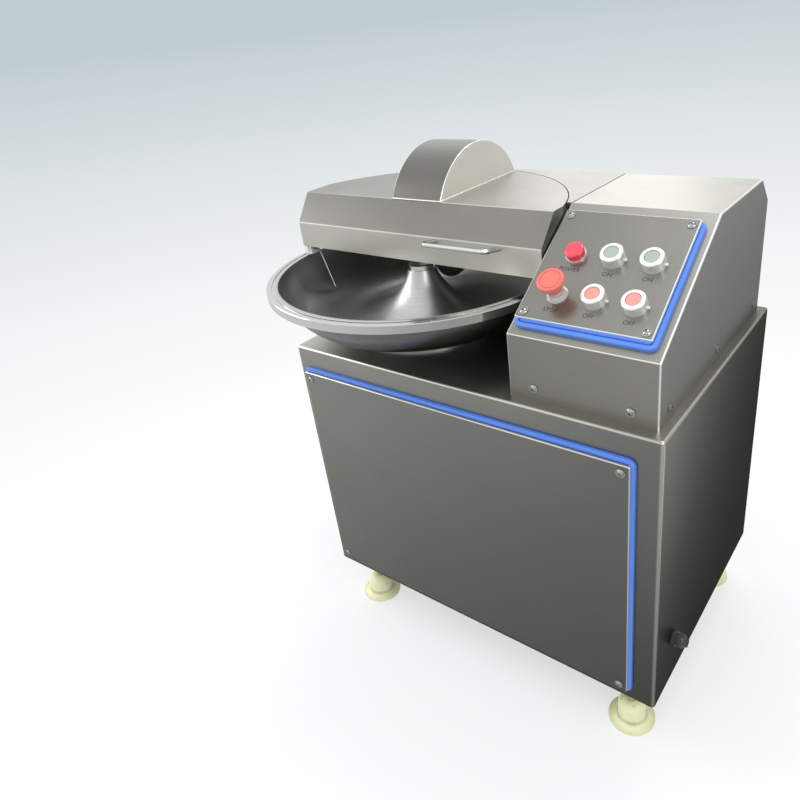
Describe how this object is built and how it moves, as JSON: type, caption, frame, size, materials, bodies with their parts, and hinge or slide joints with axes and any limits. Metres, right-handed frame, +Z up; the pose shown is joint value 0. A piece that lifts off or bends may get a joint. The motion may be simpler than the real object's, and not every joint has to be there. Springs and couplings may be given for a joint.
{
  "type": "bowl cutter",
  "caption": "Floor-standing bowl cutter: a turning trough bowl, sickle knives under a hinged domed lid, a sloped control panel and a cabinet on levelling feet.",
  "frame": {"origin": "middle of the whole machine's outline on the floor, under its feet", "axes": "+X to the machine's right as the operator faces it, +Y to its back, +Z up"},
  "size_m": [0.8336, 0.5878, 0.9305],
  "materials": {
    "stainless": "satin",
    "bowl_steel": "polished",
    "bright_steel": "polished",
    "machined_steel": "satin",
    "cast_iron": "matt paint",
    "motor_alloy": "matt paint",
    "bronze": "satin",
    "black_rubber": "matt",
    "blue_silicone": "satin",
    "white_nylon": "satin",
    "foot_plastic": "satin",
    "dark_plastic": "matt",
    "red_plastic": "gloss",
    "green_plastic": "gloss",
    "red_lens": "gloss",
    "painted_sheet": "semi-gloss"
  },
  "bodies": {
    "cabinet": {"cabinet_shell": "stainless", "front_panel": "stainless", "rear_panel": "stainless", "control_housing": "stainless", "rear_housing": "stainless", "control_plate": "stainless", "deck_collar": "stainless", "cover_screws": "bright_steel", "device_bezels": "bright_steel", "estop_collar": "bright_steel", "bowl_bearings": "machined_steel", "spindle_bearings": "machined_steel", "lid_hinge_base": "machined_steel", "lid_hinge_pin": "machined_steel", "spindle_bearing_housing": "machined_steel", "spindle_frame": "machined_steel", "bowl_bearing_housing": "cast_iron", "gearbox_housing": "cast_iron", "gearbox_cover": "cast_iron", "bowl_motor": "motor_alloy", "knife_motor": "motor_alloy", "v_belts": "black_rubber", "bowl_shaft_seal": "black_rubber", "front_panel_gasket": "blue_silicone", "control_plate_gasket": "blue_silicone", "contact_blocks": "dark_plastic", "lid_switch": "dark_plastic", "cable_gland": "dark_plastic", "pilot_lamp_lens": "red_lens", "base_frame": "painted_sheet", "motor_mount": "painted_sheet", "electrical_box": "painted_sheet"},
    "bowl_body": {"bowl": "bowl_steel", "bowl_cap_nut": "bright_steel", "bowl_shaft": "machined_steel", "worm_wheel": "bronze"},
    "worm": {"worm_shaft": "machined_steel"},
    "knife_spindle": {"knife_shaft": "machined_steel", "knives": "machined_steel", "knife_spacers": "machined_steel", "knife_nut": "bright_steel", "spindle_pulley": "cast_iron"},
    "motor_rotor": {"motor_shaft": "machined_steel", "motor_pulley": "cast_iron"},
    "lid": {"lid_shell": "stainless", "knife_dome": "stainless", "lid_handle": "bright_steel", "rim_scraper": "white_nylon", "scraper_rod": "bright_steel", "lid_hinge_arms": "machined_steel"},
    "start_knife": {"start_knife_button": "green_plastic"},
    "start_bowl": {"start_bowl_button": "green_plastic"},
    "stop_knife": {"stop_knife_button": "red_plastic"},
    "stop_bowl": {"stop_bowl_button": "red_plastic"},
    "estop_push": {"estop_stem": "bright_steel"},
    "estop_knob": {"estop_head": "red_plastic"},
    "foot_fl": {"foot_front_left": "foot_plastic"},
    "foot_fr": {"foot_front_right": "foot_plastic"},
    "foot_rl": {"foot_rear_left": "foot_plastic"},
    "foot_rr": {"foot_rear_right": "foot_plastic"}
  },
  "joints": [
    {"name": "bowl_spin", "type": "hinge", "parent": "cabinet", "child": "bowl_body", "pos_m": [-0.13725, -0.0145, 0.616], "axis": [0, 0, 1], "continuous": true},
    {"name": "worm_spin", "type": "hinge", "parent": "cabinet", "child": "worm", "pos_m": [-0.05625, -0.0145, 0.456], "axis": [0, 1, 0], "continuous": true},
    {"name": "knife_spin", "type": "hinge", "parent": "cabinet", "child": "knife_spindle", "pos_m": [0.03275, 0.1265, 0.768], "axis": [1, 0, 0], "continuous": true},
    {"name": "motor_spin", "type": "hinge", "parent": "cabinet", "child": "motor_rotor", "pos_m": [0.29275, 0.052, 0.28], "axis": [1, 0, 0], "continuous": true},
    {"name": "lid_hinge", "type": "hinge", "parent": "cabinet", "child": "lid", "pos_m": [-0.18725, 0.242, 0.857], "axis": [-1, 0, 0], "range_deg": [0, 105]},
    {"name": "stop_knife_press", "type": "slide", "parent": "cabinet", "child": "stop_knife", "axis": [0, 0.5468, -0.8373], "range_m": [0, 0.004], "stiffness_N_per_m": 500, "springref_m": -0.004},
    {"name": "stop_bowl_press", "type": "slide", "parent": "cabinet", "child": "stop_bowl", "axis": [0, 0.5468, -0.8373], "range_m": [0, 0.004], "stiffness_N_per_m": 500, "springref_m": -0.004},
    {"name": "start_knife_press", "type": "slide", "parent": "cabinet", "child": "start_knife", "axis": [0, 0.5468, -0.8373], "range_m": [0, 0.004], "stiffness_N_per_m": 500, "springref_m": -0.004},
    {"name": "start_bowl_press", "type": "slide", "parent": "cabinet", "child": "start_bowl", "axis": [0, 0.5468, -0.8373], "range_m": [0, 0.004], "stiffness_N_per_m": 500, "springref_m": -0.004},
    {"name": "estop_press", "type": "slide", "parent": "cabinet", "child": "estop_push", "axis": [0, 0.5468, -0.8373], "range_m": [0, 0.006]},
    {"name": "estop_twist", "type": "hinge", "parent": "estop_push", "child": "estop_knob", "pos_m": [0.20275, -0.13793, 0.78831], "axis": [0, 0.5468, -0.8373], "range_deg": [0, 30], "stiffness_Nm_per_rad": 0.1},
    {"name": "foot_fl_level", "type": "slide", "parent": "cabinet", "child": "foot_fl", "axis": [0, 0, -1], "range_m": [0, 0.015]},
    {"name": "foot_fr_level", "type": "slide", "parent": "cabinet", "child": "foot_fr", "axis": [0, 0, -1], "range_m": [0, 0.015]},
    {"name": "foot_rl_level", "type": "slide", "parent": "cabinet", "child": "foot_rl", "axis": [0, 0, -1], "range_m": [0, 0.015]},
    {"name": "foot_rr_level", "type": "slide", "parent": "cabinet", "child": "foot_rr", "axis": [0, 0, -1], "range_m": [0, 0.015]}
  ],
  "couplings": [
    {"joint": "worm_spin", "follows": "bowl_spin", "ratio": 40},
    {"joint": "motor_spin", "follows": "knife_spin", "ratio": 0.84906}
  ]
}
